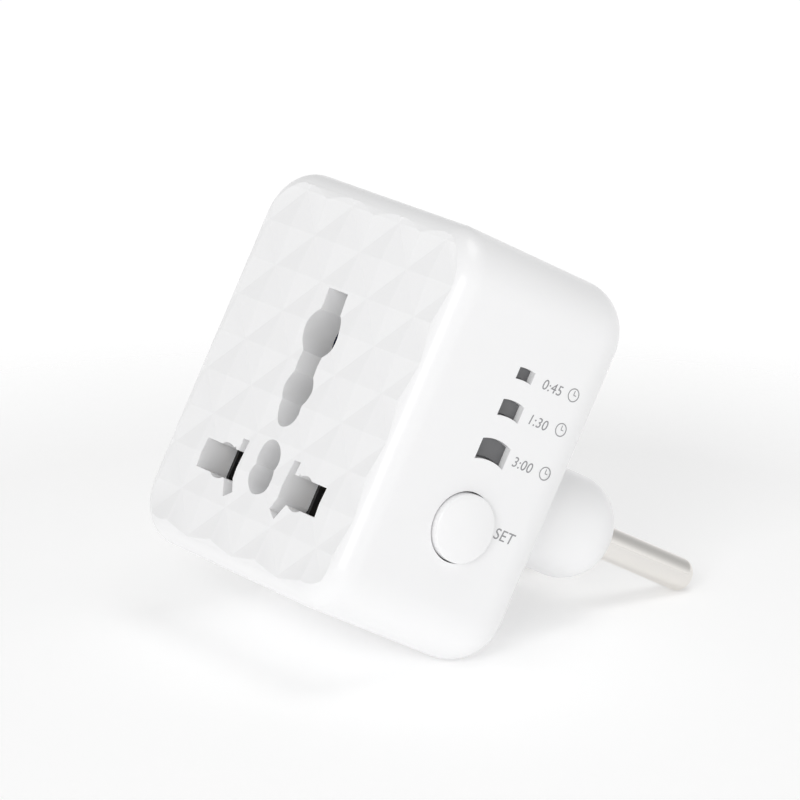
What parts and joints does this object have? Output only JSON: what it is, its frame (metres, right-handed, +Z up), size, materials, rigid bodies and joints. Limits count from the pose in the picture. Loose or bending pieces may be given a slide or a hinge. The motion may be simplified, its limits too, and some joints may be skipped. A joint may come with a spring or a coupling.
{
  "type": "plug-in timer switch",
  "caption": "Box-shaped plug-in timer switch: universal pin socket in a faceted face, two round plug pins behind, set button and time windows on one side.",
  "frame": {"origin": "centre of the flat underside of the case, midway across and midway through its depth", "axes": "+Z up, +X to the right when looking at the socket face, +Y from the socket face to the plug pins"},
  "size_m": [0.0501, 0.0684, 0.0545],
  "materials": {
    "white_gloss": "smooth white ABS, satin to gloss",
    "white_matte": "moulded insulating plastic",
    "smoked": "smoked translucent lens",
    "nickel": "bright nickel plate on brass",
    "brass": "plain sprung brass",
    "steel": "zinc-plated steel",
    "board": "green solder resist",
    "black": "black moulded parts",
    "relay_blue": "relay cover",
    "film_yellow": "film capacitor case",
    "disc_blue": "varistor coating",
    "sleeve_black": "capacitor sleeve",
    "lamp": "clear lamp body"
  },
  "bodies": {
    "case": {"main_housing": "white_gloss", "front_cover": "white_gloss", "case_screws": "steel", "line_pin": "nickel", "neutral_pin": "nickel", "pin_carrier": "white_matte", "neutral_strip": "brass", "line_strip": "brass", "switched_line_strip": "brass", "pin_screws": "steel", "line_contact": "brass", "neutral_contact": "brass", "contact_holder": "black", "tact_switch": "black", "window_lens": "smoked", "led_shroud": "black", "led_short": "lamp", "led_medium": "lamp", "led_long": "lamp", "indicator_board": "board", "main_board": "board", "relay": "relay_blue", "supply_capacitor": "film_yellow", "smoothing_capacitor": "sleeve_black", "bridge_rectifier": "black", "timer_chip": "black", "varistor": "disc_blue", "fuse": "white_matte", "board_header": "black"},
    "button": {"set_button": "white_gloss", "switch_plunger": "black"}
  },
  "joints": [
    {"name": "set_button_press", "type": "slide", "parent": "case", "child": "button", "axis": [-1, 0, 0], "range_m": [0, 0.0005], "stiffness_N_per_m": 2500, "springref_m": -0.0003}
  ]
}
